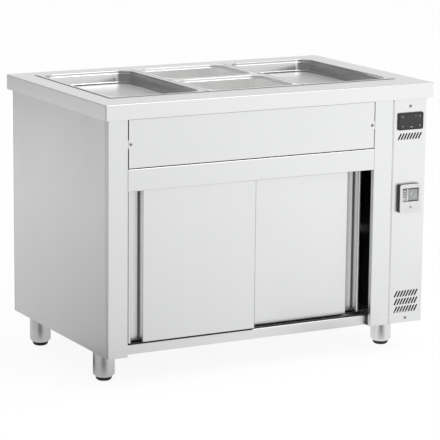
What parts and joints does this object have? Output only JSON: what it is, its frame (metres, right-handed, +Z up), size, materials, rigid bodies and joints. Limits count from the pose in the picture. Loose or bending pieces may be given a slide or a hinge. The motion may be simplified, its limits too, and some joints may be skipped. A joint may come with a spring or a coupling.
{
  "type": "heated serving counter",
  "caption": "Stainless steel heated serving counter on round levelling feet, with lift-out pans in the worktop, sliding cupboard doors and a control column.",
  "frame": {"origin": "on the floor, under the middle of the whole outline", "axes": "+X to the right along the front, +Y from the front to the back, +Z up"},
  "size_m": [1.11, 0.7196, 0.8415],
  "materials": {
    "sheet_steel": "brushed, satin",
    "pan_steel": "bright, drawn",
    "inner_steel": "plain mill finish",
    "zinc_steel": "zinc plated",
    "screw_steel": "satin",
    "element_steel": "dull, heat dark",
    "wool": "pressed mineral wool",
    "rubber": "matt",
    "nylon": "satin",
    "black_plastic": "fine texture",
    "display": "glossy, smoked",
    "switch_grey": "satin",
    "rocker_grey": "glossy",
    "lamp": "clear moulded",
    "device_plastic": "matt"
  },
  "bodies": {
    "cabinet": {"worktop": "sheet_steel", "deck_stiffeners": "zinc_steel", "well_tank": "pan_steel", "pan_bars": "pan_steel", "well_heater": "element_steel", "left_front_post": "sheet_steel", "right_front_post": "sheet_steel", "rear_posts": "zinc_steel", "left_side_panel": "sheet_steel", "right_side_panel": "sheet_steel", "back_panel": "sheet_steel", "fascia_panel": "sheet_steel", "head_rail": "sheet_steel", "bottom_rail": "sheet_steel", "base_tray": "inner_steel", "cupboard_floor": "inner_steel", "cupboard_liner": "inner_steel", "cupboard_ceiling": "inner_steel", "partition": "inner_steel", "mid_shelf": "inner_steel", "shelf_supports": "inner_steel", "cupboard_heater": "element_steel", "heater_guard": "inner_steel", "cupboard_probe": "inner_steel", "top_track": "zinc_steel", "track_stops": "rubber", "bottom_guides": "black_plastic", "control_panel": "sheet_steel", "controller": "black_plastic", "controller_window": "display", "switch_housing": "black_plastic", "switch_plate": "switch_grey", "pilot_lamp": "lamp", "cover_screws": "screw_steel", "control_chassis": "zinc_steel", "terminal_block": "device_plastic", "contactor": "device_plastic", "cable_gland": "black_plastic", "foot_tubes": "sheet_steel"},
    "left_door": {"door_skin_left": "sheet_steel", "door_back_left": "inner_steel", "door_filling_left": "wool", "door_hangers_left": "zinc_steel"},
    "right_door": {"door_skin_right": "sheet_steel", "door_back_right": "inner_steel", "door_filling_right": "wool", "door_hangers_right": "zinc_steel"},
    "pan_left": {"pan_left": "pan_steel"},
    "pan_right": {"pan_right": "pan_steel"},
    "pan_middle_front": {"pan_middle_front": "pan_steel"},
    "pan_middle_rear": {"pan_middle_rear": "pan_steel"},
    "switch_rocker": {"switch_rocker": "rocker_grey"},
    "roller_left_1": {"roller_left_1": "nylon"},
    "roller_left_2": {"roller_left_2": "nylon"},
    "roller_right_1": {"roller_right_1": "nylon"},
    "roller_right_2": {"roller_right_2": "nylon"},
    "foot_insert_front_left": {"foot_insert_front_left": "zinc_steel"},
    "foot_insert_front_right": {"foot_insert_front_right": "zinc_steel"},
    "foot_insert_rear_left": {"foot_insert_rear_left": "zinc_steel"},
    "foot_insert_rear_right": {"foot_insert_rear_right": "zinc_steel"}
  },
  "joints": [
    {"name": "left_door_slide", "type": "slide", "parent": "cabinet", "child": "left_door", "axis": [1, 0, 0], "range_m": [0, 0.3895]},
    {"name": "right_door_slide", "type": "slide", "parent": "cabinet", "child": "right_door", "axis": [1, 0, 0], "range_m": [-0.3895, 0]},
    {"name": "roller_left_1_spin", "type": "hinge", "parent": "left_door", "child": "roller_left_1", "pos_m": [-0.448, -0.31125, 0.6348], "axis": [0, 1, 0], "range_deg": [-10, 2241.7]},
    {"name": "roller_left_2_spin", "type": "hinge", "parent": "left_door", "child": "roller_left_2", "pos_m": [-0.0765, -0.31125, 0.6348], "axis": [0, 1, 0], "range_deg": [-10, 2241.7]},
    {"name": "roller_right_1_spin", "type": "hinge", "parent": "right_door", "child": "roller_right_1", "pos_m": [-0.0585, -0.27525, 0.6348], "axis": [0, 1, 0], "range_deg": [-2241.7, 10]},
    {"name": "roller_right_2_spin", "type": "hinge", "parent": "right_door", "child": "roller_right_2", "pos_m": [0.313, -0.27525, 0.6348], "axis": [0, 1, 0], "range_deg": [-2241.7, 10]},
    {"name": "pan_left_lift", "type": "slide", "parent": "cabinet", "child": "pan_left", "axis": [0, 0, 1], "range_m": [0, 0.16]},
    {"name": "pan_right_lift", "type": "slide", "parent": "cabinet", "child": "pan_right", "axis": [0, 0, 1], "range_m": [0, 0.16]},
    {"name": "pan_middle_front_lift", "type": "slide", "parent": "cabinet", "child": "pan_middle_front", "axis": [0, 0, 1], "range_m": [0, 0.16]},
    {"name": "pan_middle_rear_lift", "type": "slide", "parent": "cabinet", "child": "pan_middle_rear", "axis": [0, 0, 1], "range_m": [0, 0.16]},
    {"name": "switch_rocker_tilt", "type": "hinge", "parent": "cabinet", "child": "switch_rocker", "pos_m": [0.4834, -0.35275, 0.499], "axis": [1, 0, 0], "range_deg": [0, 13]},
    {"name": "foot_front_left_height", "type": "slide", "parent": "cabinet", "child": "foot_insert_front_left", "axis": [0, 0, -1], "range_m": [0, 0.03]},
    {"name": "foot_front_right_height", "type": "slide", "parent": "cabinet", "child": "foot_insert_front_right", "axis": [0, 0, -1], "range_m": [0, 0.03]},
    {"name": "foot_rear_left_height", "type": "slide", "parent": "cabinet", "child": "foot_insert_rear_left", "axis": [0, 0, -1], "range_m": [0, 0.03]},
    {"name": "foot_rear_right_height", "type": "slide", "parent": "cabinet", "child": "foot_insert_rear_right", "axis": [0, 0, -1], "range_m": [0, 0.03]}
  ],
  "couplings": [
    {"joint": "roller_left_1_spin", "follows": "left_door_slide", "rad_per_m": 100},
    {"joint": "roller_left_2_spin", "follows": "left_door_slide", "rad_per_m": 100},
    {"joint": "roller_right_1_spin", "follows": "right_door_slide", "rad_per_m": 100},
    {"joint": "roller_right_2_spin", "follows": "right_door_slide", "rad_per_m": 100}
  ]
}
